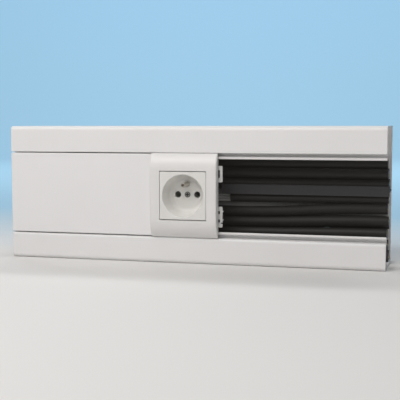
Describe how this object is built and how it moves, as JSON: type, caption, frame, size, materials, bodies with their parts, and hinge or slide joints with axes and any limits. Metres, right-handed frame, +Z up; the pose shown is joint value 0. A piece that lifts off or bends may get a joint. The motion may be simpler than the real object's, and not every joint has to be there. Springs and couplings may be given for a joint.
{
  "type": "cable trunking",
  "caption": "Cut length of white cable trunking: clip-on cover at the left, arched outlet frame with a round-pin socket, open front at the right with laid black cables.",
  "frame": {"origin": "under the middle of the whole box, on the bottom wall's outer face", "axes": "+X along the trunking to the right, -Y out of the front, +Z up"},
  "size_m": [0.366, 0.075, 0.13],
  "materials": {
    "trunking_pvc": "satin white extruded PVC",
    "cover_pvc": "satin white extruded PVC",
    "partition_pvc": "dark grey extruded PVC",
    "support_plastic": "white moulded plastic",
    "frame_plastic": "glossy white moulded plastic",
    "socket_plastic": "glossy white moulded plastic",
    "housing_plastic": "pale grey moulded plastic",
    "pin_metal": "nickel-plated brass",
    "screw_steel": "zinc-plated steel",
    "cable_black": "black PVC sheath",
    "cable_grey": "light grey PVC sheath",
    "core_grey": "pale grey core insulation"
  },
  "bodies": {
    "root": {"trunking_base": "trunking_pvc", "front_cover": "cover_pvc", "partition": "partition_pvc", "device_support": "support_plastic", "outlet_frame": "frame_plastic", "socket_plate": "socket_plastic", "socket_housing": "housing_plastic", "earth_pin": "pin_metal", "plate_screw": "screw_steel", "core_live": "core_grey", "core_neutral": "core_grey", "core_earth": "core_grey", "feed_cable": "cable_black", "cable_lower_grey": "cable_grey", "cable_lower_front_1": "cable_black", "cable_lower_front_2": "cable_black", "cable_lower_front_3": "cable_black", "cable_lower_front_4": "cable_black", "cable_lower_front_5": "cable_black", "cable_lower_rear_1": "cable_black", "cable_lower_rear_2": "cable_black", "cable_lower_rear_3": "cable_black", "cable_lower_rear_4": "cable_black", "cable_upper_front_1": "cable_black", "cable_upper_front_2": "cable_black", "cable_upper_front_3": "cable_black", "cable_upper_rear_1": "cable_black", "cable_upper_rear_2": "cable_black"}
  },
  "joints": []
}
